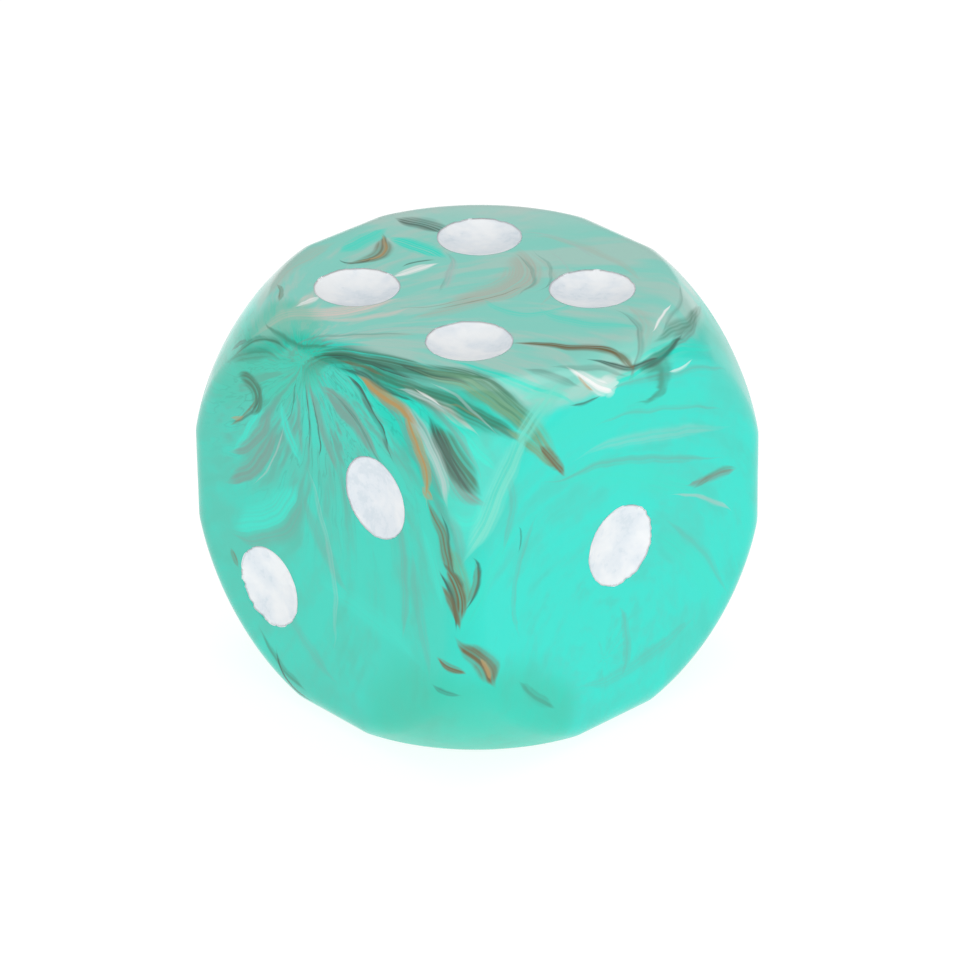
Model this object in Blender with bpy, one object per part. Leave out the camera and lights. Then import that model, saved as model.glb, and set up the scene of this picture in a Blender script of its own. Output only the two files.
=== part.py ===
"""A six-sided gaming die: a solid marbled resin body with 21 dished recesses, each holding a fill of white paint.

The origin is the die's centre and +Z is up, so the die stands on its three with the four on top. The flat faces
lie on the sides of a cube, a ball turned about the same centre rounds the eight corners, and a small radius
blends the two. Opposite faces add up to seven. Every pip is a solid of its own in its own recess. All lengths
are in metres.
"""

import math

import bmesh
import bpy
import numpy as np
from mathutils import Matrix, Vector

# Body
SIDE = 0.016  # between two opposite faces
BALL_DIAMETER = 0.022  # of the ball that rounds the corners
EDGE_RADIUS = 0.00115  # of the blend between a flat face, the ball and the next face
SKIN_STEPS = 48  # facets round each face
SKIN_RINGS = 5  # rows of facets from a flat face out to the cube's edges

# Recesses and paint
PIP_DIAMETER = 0.00324
PIP_OFFSET = 0.00316  # from a face's middle lines to its corner pips, on the two, three, four and five
SIX_COLUMN = 0.00300  # from the six's middle line to each of its columns
SIX_PITCH = 0.00375  # between two pips in a column of the six
RECESS_WALL = 0.00020  # depth of the straight wall at the mouth of a recess
RECESS_DEPTH = 0.00055  # from the face to the bottom of the dish
PAINT_GAP = 0.00010  # between the paint and its recess
PAINT_RIM = 0.00002  # from the face down to the edge of the paint
PAINT_CENTRE = 0.00030  # from the face down to the middle of the paint's hollow surface
CUTTER_RISE = 0.00050  # that a cutter stands out of the face
PIP_STEPS = 24  # facets round each pip
DISH_RINGS = 2  # rows of facets from a dish's centre to its edge

MERGE_DISTANCE = 1e-6
TINY = 1e-12
SHARP_ANGLE = math.radians(35)

# Each face by its pips: its outward normal, then what is right and up when it is looked at
FACES = {
    1: (Vector((1, 0, 0)), Vector((0, 1, 0)), Vector((0, 0, 1))),
    2: (Vector((0, -1, 0)), Vector((1, 0, 0)), Vector((0, 0, 1))),
    3: (Vector((0, 0, -1)), Vector((1, 0, 0)), Vector((0, -1, 0))),
    4: (Vector((0, 0, 1)), Vector((1, 0, 0)), Vector((0, 1, 0))),
    5: (Vector((0, 1, 0)), Vector((-1, 0, 0)), Vector((0, 0, 1))),
    6: (Vector((-1, 0, 0)), Vector((0, -1, 0)), Vector((0, 0, 1))),
}

CENTRE_PIP = {"centre": (0, 0)}
RISING_PIPS = {"lower_left": (-PIP_OFFSET, -PIP_OFFSET), "upper_right": (PIP_OFFSET, PIP_OFFSET)}
FALLING_PIPS = {"upper_left": (-PIP_OFFSET, PIP_OFFSET), "lower_right": (PIP_OFFSET, -PIP_OFFSET)}
SIX_PIPS = {
    f"{row}_{column}": (right, up)
    for column, right in (("left", -SIX_COLUMN), ("right", SIX_COLUMN))
    for row, up in (("lower", -SIX_PITCH), ("middle", 0), ("upper", SIX_PITCH))
}

# Where each face's pips are: how far right of its middle, and how far above
PIPS = {
    1: CENTRE_PIP,
    2: RISING_PIPS,
    3: CENTRE_PIP | FALLING_PIPS,
    4: RISING_PIPS | FALLING_PIPS,
    5: CENTRE_PIP | RISING_PIPS | FALLING_PIPS,
    6: SIX_PIPS,
}


def remove_objects():
    for thing in list(bpy.data.objects):
        bpy.data.objects.remove(thing)


def gloss_material(name, colour, roughness):
    material = bpy.data.materials.new(name)
    material.use_nodes = True
    shader = material.node_tree.nodes["Principled BSDF"]
    shader.inputs["Base Color"].default_value = (*colour, 1)
    shader.inputs["Roughness"].default_value = roughness
    shader.inputs["Metallic"].default_value = 0
    return material


def new_object(name, mesh):
    thing = bpy.data.objects.new(name, mesh)
    bpy.context.scene.collection.objects.link(thing)
    return thing


def finished_mesh(name, shape):
    """Closes a bmesh's seams, turns its faces outwards and makes it a smooth-shaded mesh with crisp rims."""
    bmesh.ops.remove_doubles(shape, verts=shape.verts, dist=MERGE_DISTANCE)
    bmesh.ops.recalc_face_normals(shape, faces=shape.faces)
    mesh = bpy.data.meshes.new(name)
    shape.to_mesh(mesh)
    shape.free()
    mesh.shade_smooth()
    mesh.set_sharp_from_angle(angle=SHARP_ANGLE)
    return mesh


def face_turn(value):
    """Turns a shape drawn looking down on the XY plane to lie the same way on a face."""
    normal, right, up = FACES[value]
    return Matrix((right, up, normal)).transposed()


def pip_place(value, right, up):
    """Puts the origin of a shape on a face, at a pip, with the shape's +Z along the face's normal."""
    turn = face_turn(value)
    return Matrix.Translation(turn @ Vector((right, up, SIDE / 2))) @ turn.to_4x4()


def onto_body(points):
    """Moves points of the cube's skin onto the rounded body.

    The body is a core, the part of a smaller cube that lies in a smaller ball, grown all round by the edge radius.
    A point is drawn in towards the centre, and held to the smaller cube, until it also lies in the smaller ball.
    The share that is left of its distances is largest where it meets a corner's ball, the rim of a flat disc, or
    the end of a straight edge. From there it goes back out towards where it began, by the edge radius.
    """
    core_half = SIDE / 2 - EDGE_RADIUS
    core_ball = BALL_DIAMETER / 2 - EDGE_RADIUS
    disc = math.sqrt(core_ball**2 - core_half**2)
    edge = math.sqrt(disc**2 - core_half**2)
    least, middle, most = np.sort(np.abs(points)).T
    meets_ball = core_ball / np.sqrt(least**2 + middle**2 + most**2)
    meets_disc = disc / np.hypot(least, middle)
    meets_edge = edge / np.maximum(least, TINY)
    share = np.minimum(1, np.maximum(meets_ball, np.maximum(meets_disc, meets_edge)))
    core = np.clip(share[:, None] * points, -core_half, core_half)
    outwards = points - core
    return core + EDGE_RADIUS * outwards / np.linalg.norm(outwards, axis=1)[:, None]


def face_skin():
    """One face of the body: a flat disc's rim, then rings of points that run out to the cube's edges."""
    half = SIDE / 2
    core_half = half - EDGE_RADIUS
    disc = math.sqrt((BALL_DIAMETER / 2 - EDGE_RADIUS) ** 2 - core_half**2)
    rings = []
    for ring in range(SKIN_RINGS + 1):
        for step in range(SKIN_STEPS):
            angle = 2 * math.pi * step / SKIN_STEPS
            longest = max(abs(math.cos(angle)), abs(math.sin(angle)))
            rim = min(disc, core_half / longest)
            radius = rim + (half / longest - rim) * ring / SKIN_RINGS
            rings.append((radius * math.cos(angle), radius * math.sin(angle), half))
    return [Vector(point) for point in onto_body(np.array(rings))]


def body_mesh():
    """Six like faces that meet along the cube's edges."""
    skin = face_skin()
    shape = bmesh.new()
    for value in FACES:
        turn = face_turn(value)
        verts = [shape.verts.new(turn @ point) for point in skin]
        rings = [verts[start : start + SKIN_STEPS] for start in range(0, len(verts), SKIN_STEPS)]
        shape.faces.new(rings[0])
        for inner, outer in zip(rings, rings[1:]):
            for step in range(SKIN_STEPS):
                shape.faces.new((inner[step - 1], outer[step - 1], outer[step], inner[step]))
    return finished_mesh("die_body", shape)


def dish(radius, rim, bottom):
    """A dished curve from its bottom on the axis to its rim, as distances from the axis and heights."""
    rise = rim - bottom
    sphere = (radius**2 + rise**2) / (2 * rise)
    reach = math.asin(radius / sphere)
    angles = [reach * ring / DISH_RINGS for ring in range(DISH_RINGS + 1)]
    return [(sphere * math.sin(angle), bottom + sphere * (1 - math.cos(angle))) for angle in angles]


def turned_mesh(name, profile):
    """A profile that starts and ends on the axis, turned round it."""
    shape = bmesh.new()
    verts = [shape.verts.new((radius, 0, height)) for radius, height in profile]
    edges = [shape.edges.new(pair) for pair in zip(verts, verts[1:])]
    bmesh.ops.spin(
        shape, geom=verts + edges, axis=(0, 0, 1), angle=2 * math.pi, steps=PIP_STEPS, use_merge=True
    )
    return finished_mesh(name, shape)


def recess_cutters():
    """One cutter for all the recesses: each a dish with a short straight wall, standing out of its face."""
    radius = PIP_DIAMETER / 2
    profile = dish(radius, -RECESS_WALL, -RECESS_DEPTH) + [(radius, CUTTER_RISE), (0, CUTTER_RISE)]
    shape = bmesh.new()
    for value, pips in PIPS.items():
        for right, up in pips.values():
            mesh = turned_mesh("recess_cutter", profile)
            mesh.transform(pip_place(value, right, up))
            shape.from_mesh(mesh)
    cutters = new_object("recess_cutters", finished_mesh("recess_cutters", shape))
    cutters.hide_render = True
    cutters.display_type = "WIRE"
    return cutters


def make_body():
    body = new_object("die_body", body_mesh())
    body.data.materials.append(gloss_material("turquoise_resin", (0.10, 0.62, 0.51), 0.15))
    recesses = body.modifiers.new("recesses", "BOOLEAN")
    recesses.operation = "DIFFERENCE"
    recesses.solver = "EXACT"
    recesses.object = recess_cutters()


def make_pips():
    """The paint in each recess: its underside follows the dish, and its surface is a shallower hollow."""
    radius = PIP_DIAMETER / 2 - PAINT_GAP
    underside = dish(radius, PAINT_GAP - RECESS_WALL, PAINT_GAP - RECESS_DEPTH)
    surface = dish(radius, -PAINT_RIM, -PAINT_CENTRE)
    paint = turned_mesh("pip_paint", underside + surface[::-1])
    paint.materials.append(gloss_material("white_paint", (0.78, 0.82, 0.84), 0.3))
    for value, pips in PIPS.items():
        for name, (right, up) in pips.items():
            pip = new_object(f"pip_{value}_{name}", paint)
            pip.matrix_world = pip_place(value, right, up)


remove_objects()
make_body()
make_pips()
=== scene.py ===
import math

import bpy
from mathutils import Matrix, Vector


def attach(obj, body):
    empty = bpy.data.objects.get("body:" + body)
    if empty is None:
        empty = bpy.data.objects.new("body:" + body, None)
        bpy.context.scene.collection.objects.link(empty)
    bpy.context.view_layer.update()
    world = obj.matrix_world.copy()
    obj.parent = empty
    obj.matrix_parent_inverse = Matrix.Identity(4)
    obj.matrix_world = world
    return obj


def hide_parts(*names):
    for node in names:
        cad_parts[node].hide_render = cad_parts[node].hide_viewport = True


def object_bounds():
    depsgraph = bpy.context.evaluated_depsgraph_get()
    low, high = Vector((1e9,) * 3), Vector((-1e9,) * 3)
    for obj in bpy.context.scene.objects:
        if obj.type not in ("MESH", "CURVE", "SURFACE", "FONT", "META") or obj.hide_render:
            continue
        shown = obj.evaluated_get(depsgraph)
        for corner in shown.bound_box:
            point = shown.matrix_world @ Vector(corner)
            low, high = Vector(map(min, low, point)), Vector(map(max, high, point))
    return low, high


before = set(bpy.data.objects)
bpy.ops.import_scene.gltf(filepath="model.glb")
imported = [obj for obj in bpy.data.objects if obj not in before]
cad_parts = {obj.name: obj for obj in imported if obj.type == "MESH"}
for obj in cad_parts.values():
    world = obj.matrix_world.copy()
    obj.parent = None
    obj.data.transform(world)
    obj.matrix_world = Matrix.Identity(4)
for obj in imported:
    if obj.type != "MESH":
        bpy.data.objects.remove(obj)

cad_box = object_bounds()


# ---------------------------------------------------------------- camera
# A long lens looks down at the die's near vertical edge from a little over thirteen sides away, so the one
# and the two stand either side of that edge and the four lies on top.

side = cad_box[1].x - cad_box[0].x
centre = (cad_box[0] + cad_box[1]) / 2

azimuth, elevation, tilt = math.radians(47.86), math.radians(28.15), math.radians(-0.87)
camera_distance = 13.47 * side
back = Vector((
    math.sin(azimuth) * math.cos(elevation),
    -math.cos(azimuth) * math.cos(elevation),
    math.sin(elevation),
))
level = Vector((math.cos(azimuth), math.sin(azimuth), 0))
right = math.cos(tilt) * level + math.sin(tilt) * back.cross(level)
camera_turn = Matrix((right, back.cross(right), back)).transposed().to_4x4()

camera = bpy.data.objects.new("camera", bpy.data.cameras.new("camera"))
camera.matrix_world = Matrix.Translation(centre + back * camera_distance) @ camera_turn
camera.data.sensor_width = 36
camera.data.lens = 209.2
camera.data.shift_x = 0.0029
camera.data.shift_y = -0.0068
camera.data.clip_start = 0.01
bpy.context.scene.collection.objects.link(camera)
bpy.context.scene.camera = camera
bpy.context.scene.view_settings.view_transform = "Standard"


# ---------------------------------------------------------------- table top and soft boxes
# The die stands on a plain white sheet inside a white light tent. One wide soft box behind the camera draws
# the pale streaks on the near corner and edge, one overhead lights the four, and two at the sides fill in.


def soft_box(name, toward, distance, size, brightness):
    data = bpy.data.lights.new(name, "AREA")
    data.shape = "RECTANGLE"
    data.size, data.size_y = size
    data.energy = brightness * math.pi * size[0] * size[1]
    box = bpy.data.objects.new(name, data)
    aim = Vector(toward).normalized()
    aimed = aim.to_track_quat("Z", "Y").to_matrix().to_4x4()
    box.matrix_world = Matrix.Translation(centre + aim * distance) @ aimed
    bpy.context.scene.collection.objects.link(box)


soft_box("overhead_box", (0.1, 0.05, 1), 0.34, (0.30, 0.30), 1.55)
soft_box("camera_box", (math.sin(azimuth), -math.cos(azimuth), 0.40), 0.36, (0.24, 0.30), 1.6)
soft_box("left_box", (-0.75, -1, 0.35), 0.34, (0.20, 0.20), 0.9)
soft_box("right_box", (1, 0.55, 0.35), 0.34, (0.20, 0.20), 0.9)

tent = bpy.data.worlds.new("tent")
tent.use_nodes = True
tent.node_tree.nodes["Background"].inputs["Color"].default_value = (1, 1, 1, 1)
tent.node_tree.nodes["Background"].inputs["Strength"].default_value = 0.5
bpy.context.scene.world = tent

sheet_half = 0.6
SHEET_GAP = 0.00002  # keeps the sheet off the die's bottom face, where the two would flicker
corner_signs = ((-1, -1), (1, -1), (1, 1), (-1, 1))
sheet_corners = [(x * sheet_half, y * sheet_half, cad_box[0].z - SHEET_GAP) for x, y in corner_signs]
sheet_mesh = bpy.data.meshes.new("paper_sheet")
sheet_mesh.from_pydata(sheet_corners, [], [(0, 1, 2, 3)])
paper = bpy.data.materials.new("white_paper")
paper.use_nodes = True
paper_shader = paper.node_tree.nodes["Principled BSDF"]
paper_shader.inputs["Base Color"].default_value = (0.25, 0.25, 0.25, 1)
paper_shader.inputs["Roughness"].default_value = 0.9
paper_shader.inputs["Specular IOR Level"].default_value = 0.1
paper_shader.inputs["Emission Color"].default_value = (1, 1, 1, 1)
paper_shader.inputs["Emission Strength"].default_value = 0.84
sheet_mesh.materials.append(paper)
sheet = bpy.data.objects.new("paper_sheet", sheet_mesh)
bpy.context.scene.collection.objects.link(sheet)


# ---------------------------------------------------------------- resin body, its shape
# One solid casting of marbled resin. Its six flats are lapped on a plate, its corners are turned to a ball,
# and 21 dimples for the pips are drilled with a ball-ended cutter that leaves a softly rounded lip.

BODY_SIZES = {
    "Side": side,
    "Ball Diameter": 0.022,
    "Edge Radius": 0.00115,
    "Pip Diameter": 0.00324,
    "Pip Offset": 0.00316,
    "Six Column": 0.00300,
    "Six Pitch": 0.00375,
    "Dimple Depth": 0.00062,
    "Lip Radius": 0.00006,
}
EDGE_CROWDING = 1.15  # how strongly the skin's rows crowd towards the edges, in radians

# What is right and up on each face, looking at it
FACE_AXES = {
    "one": ((0, 1, 0), (0, 0, 1)),
    "two": ((1, 0, 0), (0, 0, 1)),
    "three": ((1, 0, 0), (0, -1, 0)),
    "four": ((1, 0, 0), (0, 1, 0)),
    "five": ((-1, 0, 0), (0, 0, 1)),
    "six": ((0, -1, 0), (0, 0, 1)),
}
FACE_NUMBERS = {"one": 1, "two": 2, "three": 3, "four": 4, "five": 5, "six": 6}

CENTRE_PIP = {"centre": (0, 0)}
RISING_PIPS = {"lower_left": (-1, -1), "upper_right": (1, 1)}
FALLING_PIPS = {"upper_left": (-1, 1), "lower_right": (1, -1)}
SIX_PIPS = {
    f"{row}_{column}": (x, y)
    for column, x in (("left", -1), ("right", 1))
    for row, y in (("lower", -1), ("middle", 0), ("upper", 1))
}
# Each face's pips, counted in pip offsets to the right of its middle and above it, or in columns and rows
PIPS = {
    "one": CENTRE_PIP,
    "two": RISING_PIPS,
    "three": CENTRE_PIP | FALLING_PIPS,
    "four": RISING_PIPS | FALLING_PIPS,
    "five": CENTRE_PIP | RISING_PIPS | FALLING_PIPS,
    "six": SIX_PIPS,
}


class Wire:
    """An output socket of a node tree. A sum written with wires adds the tree's Math or Vector Math nodes."""

    def __init__(self, socket):
        self.socket = socket
        self.tree = socket.id_data

    def out(self, name):
        outputs = self.socket.node.outputs
        return Wire(next(socket for socket in outputs if socket.enabled and socket.name == name))

    def math(self, operation, *others):
        terms = (self, *others)
        vector = any(isinstance(term, (tuple, Vector)) or is_vector(term) for term in terms)
        kind = "ShaderNodeVectorMath" if vector else "ShaderNodeMath"
        return add(self.tree, kind, {"operation": operation}, dict(enumerate(terms)))

    def __add__(self, other):
        return self.math("ADD", other)

    def __radd__(self, other):
        return self.math("ADD", other)

    def __sub__(self, other):
        return self.math("SUBTRACT", other)

    def __rsub__(self, other):
        return add(self.tree, "ShaderNodeMath", {"operation": "SUBTRACT"}, {0: other, 1: self})

    def __mul__(self, other):
        if is_vector(self) and not isinstance(other, (tuple, Vector)) and not is_vector(other):
            return add(self.tree, "ShaderNodeVectorMath", {"operation": "SCALE"}, {0: self, "Scale": other})
        return self.math("MULTIPLY", other)

    def __rmul__(self, other):
        return self * other

    def __truediv__(self, other):
        return self.math("DIVIDE", other)

    def __rtruediv__(self, other):
        return add(self.tree, "ShaderNodeMath", {"operation": "DIVIDE"}, {0: other, 1: self})

    def __pow__(self, other):
        return self.math("POWER", other)


def is_vector(term):
    return isinstance(term, Wire) and term.socket.type in {"VECTOR", "RGBA"}


def add(tree, kind, settings=None, sockets=None):
    """Adds any node: its settings first, then the values or wires of its sockets, by name or by number."""
    node = tree.nodes.new(kind)
    for name, value in (settings or {}).items():
        setattr(node, name, value)
    for name, value in (sockets or {}).items():
        if isinstance(name, int):
            socket = node.inputs[name]
        else:
            socket = next(entry for entry in node.inputs if entry.enabled and entry.name == name)
        if isinstance(value, (list, Wire)):
            for wire in value if isinstance(value, list) else [value]:
                tree.links.new(wire.socket, socket)
        elif socket.type == "RGBA":
            socket.default_value = (*value, 1)
        else:
            socket.default_value = value
    return Wire(next(socket for socket in node.outputs if socket.enabled)) if node.outputs else node


def new_tree(kind, name, values, result):
    """A new node group with a named input for each of the values it is run with."""
    kinds = {float: "Float", int: "Int", Vector: "Vector", tuple: "Color", bpy.types.Material: "Material"}
    tree = bpy.data.node_groups.new(name, kind)
    for value_name, value in values.items():
        socket = "NodeSocket" + kinds[type(value)]
        tree.interface.new_socket(value_name, in_out="INPUT", socket_type=socket)
    tree.interface.new_socket(result, in_out="OUTPUT", socket_type="NodeSocket" + result)
    return tree, add(tree, "NodeGroupInput")


def end_tree(tree, sizes, geometry):
    real = add(tree, "GeometryNodeRealizeInstances", {}, {"Geometry": geometry})
    coloured = add(tree, "GeometryNodeSetMaterial", {}, {"Geometry": real, "Material": sizes.out("Material")})
    add(tree, "NodeGroupOutput", {}, {"Geometry": coloured})


def grown(name, tree, values):
    """Runs a shape tree on an empty mesh and keeps the result as a plain mesh object at the origin."""
    seed = bpy.data.objects.new(name + "_seed", bpy.data.meshes.new(name + "_seed"))
    bpy.context.scene.collection.objects.link(seed)
    modifier = seed.modifiers.new("shape", "NODES")
    modifier.node_group = tree
    for item in tree.interface.items_tree:
        if item.in_out == "INPUT":
            modifier[item.identifier] = values[item.name]
    evaluated = seed.evaluated_get(bpy.context.evaluated_depsgraph_get())
    mesh = bpy.data.meshes.new_from_object(evaluated)
    bpy.data.objects.remove(seed)
    mesh.name = name
    piece = bpy.data.objects.new(name, mesh)
    bpy.context.scene.collection.objects.link(piece)
    return piece


def face_rotation(face):
    """Turns a shape drawn looking down on the XY plane to lie the same way on a face."""
    across, up = (Vector(axis) for axis in FACE_AXES[face])
    return Matrix((across, up, across.cross(up))).transposed()


def rounded(place, sizes):
    """Moves a wire of points of the cube's skin onto the cube with ball corners and blended edges."""
    core_half = sizes.out("Side") / 2 - sizes.out("Edge Radius")
    core_ball = sizes.out("Ball Diameter") / 2 - sizes.out("Edge Radius")
    disc_squared = core_ball * core_ball - core_half * core_half
    edge_squared = disc_squared - core_half * core_half
    reach = add(place.tree, "ShaderNodeSeparateXYZ", {}, {0: place.math("ABSOLUTE")})
    x, y, z = reach, reach.out("Y"), reach.out("Z")
    most = x.math("MAXIMUM", y).math("MAXIMUM", z)
    least = x.math("MINIMUM", y).math("MINIMUM", z).math("MAXIMUM", 1e-9)
    length = place.math("LENGTH")
    meets_disc = (disc_squared / (length * length - most * most)) ** 0.5
    share = (core_ball / length).math("MAXIMUM", meets_disc).math("MAXIMUM", edge_squared**0.5 / least)
    half = add(place.tree, "ShaderNodeCombineXYZ", {}, {0: core_half, 1: core_half, 2: core_half})
    core = (place * share.math("MINIMUM", 1)).math("MINIMUM", half).math("MAXIMUM", half * -1)
    return core + (place - core).math("NORMALIZE") * sizes.out("Edge Radius")


def turned_grid(tree, rows, steps, profile):
    """A surface turned about Z, whose profile makes a radius and a height of a wire that runs from 0 to 1."""
    flat = add(tree, "GeometryNodeMeshGrid", {}, {"Vertices X": steps, "Vertices Y": rows})
    flat_place = add(tree, "ShaderNodeSeparateXYZ", {}, {0: add(tree, "GeometryNodeInputPosition")})
    angle = (flat_place + 0.5) * math.tau
    radius, height = profile(flat_place.out("Y") + 0.5, angle)
    turned_place = {0: radius * angle.math("COSINE"), 1: radius * angle.math("SINE"), 2: height}
    place = add(tree, "ShaderNodeCombineXYZ", {}, turned_place)
    turned = add(tree, "GeometryNodeSetPosition", {}, {"Geometry": flat, "Position": place})
    return add(tree, "GeometryNodeMergeByDistance", {}, {"Geometry": turned, "Distance": 1e-7})


def quarter(along, number):
    """The angle of one of a profile's quarter turns: 0 before it begins, a right angle once it is done."""
    return (along * 3 - number).math("MAXIMUM", 0).math("MINIMUM", 1) * (math.pi / 2)


resin = bpy.data.materials.new("marbled_resin")
body_values = BODY_SIZES | {"Skin Rows": 81, "Dimple Steps": 73, "Material": resin}
body_tree, body_sizes = new_tree("GeometryNodeTree", "rounded_die", body_values, "Geometry")

skin_rows = {name: body_sizes.out("Skin Rows") for name in ("Vertices X", "Vertices Y", "Vertices Z")}
skin = add(body_tree, "GeometryNodeMeshCube", {}, skin_rows)
on_cube = add(body_tree, "GeometryNodeInputPosition") * (2 * EDGE_CROWDING)
on_cube = on_cube.math("SINE") * (body_sizes.out("Side") / (2 * math.sin(EDGE_CROWDING)))
on_die = rounded(on_cube, body_sizes)
skin = add(body_tree, "GeometryNodeSetPosition", {}, {"Geometry": skin, "Position": on_die})


CAP_HEIGHT = 0.0006  # how far the cutter's shape stands clear of the face


def dimple_profile(along, angle):
    """The drill's half ellipse, then the lip's quarter round, then a cap well clear of the face."""
    lip = body_sizes.out("Lip Radius")
    dish, flare, cap = (quarter(along, number) for number in range(3))
    radius = dish.math("SINE") * body_sizes.out("Pip Diameter") / 2 + lip * (1 - flare.math("COSINE"))
    depth = dish.math("COSINE") * (body_sizes.out("Dimple Depth") - lip) + lip * (1 - flare.math("SINE"))
    return radius * cap.math("COSINE"), cap.math("SINE") * CAP_HEIGHT - depth


dimple = turned_grid(body_tree, 25, body_sizes.out("Dimple Steps"), dimple_profile)
dimples = []
for face, pips in PIPS.items():
    turn = face_rotation(face).to_euler()
    across = body_sizes.out("Six Column") if face == "six" else body_sizes.out("Pip Offset")
    up = body_sizes.out("Six Pitch") if face == "six" else body_sizes.out("Pip Offset")
    on_face = []
    for x, y in pips.values():
        shift = {0: across * x, 1: up * y, 2: body_sizes.out("Side") / 2}
        shift = add(body_tree, "ShaderNodeCombineXYZ", {}, shift)
        moved = {"Geometry": dimple, "Translation": shift}
        on_face.append(add(body_tree, "GeometryNodeTransform", {}, moved))
    on_face = add(body_tree, "GeometryNodeJoinGeometry", {}, {"Geometry": on_face})
    turned = {"Geometry": on_face, "Rotation": tuple(turn)}
    dimples.append(add(body_tree, "GeometryNodeTransform", {}, turned))
cut = {"operation": "DIFFERENCE", "solver": "EXACT"}
body_shape = add(body_tree, "GeometryNodeMeshBoolean", cut, {0: skin, 1: dimples})
bend = add(body_tree, "GeometryNodeInputMeshEdgeAngle")
soft = add(body_tree, "FunctionNodeCompare", {"operation": "LESS_THAN"}, {0: bend, 1: math.radians(32)})
body_shape = add(body_tree, "GeometryNodeSetShadeSmooth", {"domain": "FACE"}, {"Geometry": body_shape})
smoothed = {"Geometry": body_shape, "Shade Smooth": soft}
body_shape = add(body_tree, "GeometryNodeSetShadeSmooth", {"domain": "EDGE"}, smoothed)
end_tree(body_tree, body_sizes, body_shape)

body = grown("marbled_body", body_tree, body_values)
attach(body, "root")
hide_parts("die_body")


# ---------------------------------------------------------------- resin body, its marbling
# Streams of turquoise, jade, forest green, brown and white resin are poured together and dragged with a rod,
# so strands fan out from the pinches where the rod was lifted, and curl round the eddies it left. Copper dust
# settles in a few of the seams. The pattern is placed in shares of the die's side, from its centre.

resin.use_nodes = True
marble = resin.node_tree
ball_share = BODY_SIZES["Ball Diameter"] / 2 / side


def tint(code):
    """A colour from its six-figure display code."""
    shares = [int(code[start : start + 2], 16) / 255 for start in (0, 2, 4)]
    return tuple(share / 12.92 if share < 0.04045 else ((share + 0.055) / 1.055) ** 2.4 for share in shares)


def spot(face, across, up):
    """A point of the die's skin, seen from the centre through a point of the face's plane."""
    toward = face_rotation(face) @ Vector((across, up, 0.5))
    return toward * min(0.5 / max(abs(share) for share in toward), ball_share / toward.length)


def blend(base, coat, amount):
    return add(amount.tree, "ShaderNodeMix", {"data_type": "RGBA"}, {"Factor": amount, "A": base, "B": coat})


def ease(value, start, end, low=0, high=1):
    """Runs smoothly from low to high as a value goes from start to end."""
    limits = {"Value": value, "From Min": start, "From Max": end, "To Min": low, "To Max": high}
    return add(value.tree, "ShaderNodeMapRange", {"interpolation_type": "SMOOTHSTEP"}, limits)


def noise(place, scale, detail=2, roughness=0.5, seed=0.0):
    sockets = {"Vector": place + (seed, seed, seed), "Scale": scale, "Detail": detail, "Roughness": roughness}
    return add(place.tree, "ShaderNodeTexNoise", {}, sockets)


from_centre = add(marble, "ShaderNodeTexCoord").out("Object") * (1 / side)
wander = noise(from_centre, 5, 2, 0.5).out("Color").math("SUBTRACT", (0.5, 0.5, 0.5)) * 0.055
drift = from_centre + wander


def flow(centre, across, along, seed, twist=0.0):
    """Noise drawn out in streaks: rays from a pinch if across is high, rings round an eddy if along is."""
    away = drift - tuple(centre)
    reach = away.math("LENGTH")
    if twist:
        turn = {"Vector": away, "Axis": centre.normalized(), "Angle": reach * twist}
        away = add(marble, "ShaderNodeVectorRotate", {"rotation_type": "AXIS_ANGLE"}, turn)
    lanes = {"Vector": away.math("NORMALIZE"), "W": reach * (along / across) + seed, "Scale": across}
    streaks = {"Detail": 3, "Roughness": 0.6}
    return add(marble, "ShaderNodeTexNoise", {"noise_dimensions": "4D"}, lanes | streaks)


near_pinch = spot("two", -0.06, 0.49)
far_pinch = spot("six", -0.12, -0.4)
axis = add(marble, "ShaderNodeSeparateXYZ", {}, {0: drift})
fan = flow(near_pinch, 7, 2.2, 3.1, twist=1.15)
right_rings = flow(Vector((0.5, -0.05, -0.28)), 2.2, 17, 5.4)
far_fan = flow(far_pinch, 7, 2.2, 8.7, twist=-1.3)
low_rings = flow(Vector((0.25, 0.3, -0.5)), 2.4, 18, 1.9)
on_right = ease(axis, 0.40, 0.50)
on_far = ease(axis.out("Y") - axis, 0.30, 0.62)
on_base = ease(axis.out("Z"), -0.34, -0.5)


def mix_values(low, high, amount):
    return low + (high - low) * amount


streaks = mix_values(fan, right_rings, on_right)
streaks = mix_values(streaks, far_fan, on_far)
streaks = mix_values(streaks, low_rings, on_base)
ragged = (streaks - 0.5) * 0.02


def ball_through(face, first, second, third):
    """The centre and radius of the ball that meets the skin square on, along the curve of three points."""
    outward = second if second.length > ball_share - 0.01 else face_rotation(face).col[2]
    sideways = (third - first).cross(outward).normalized()
    bend = sum(2 * sideways.dot(end - second) / (end - second).length_squared for end in (first, third)) / 2
    bend = math.copysign(max(abs(bend), 0.05), bend)
    return second + sideways / bend, 1 / abs(bend)


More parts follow.
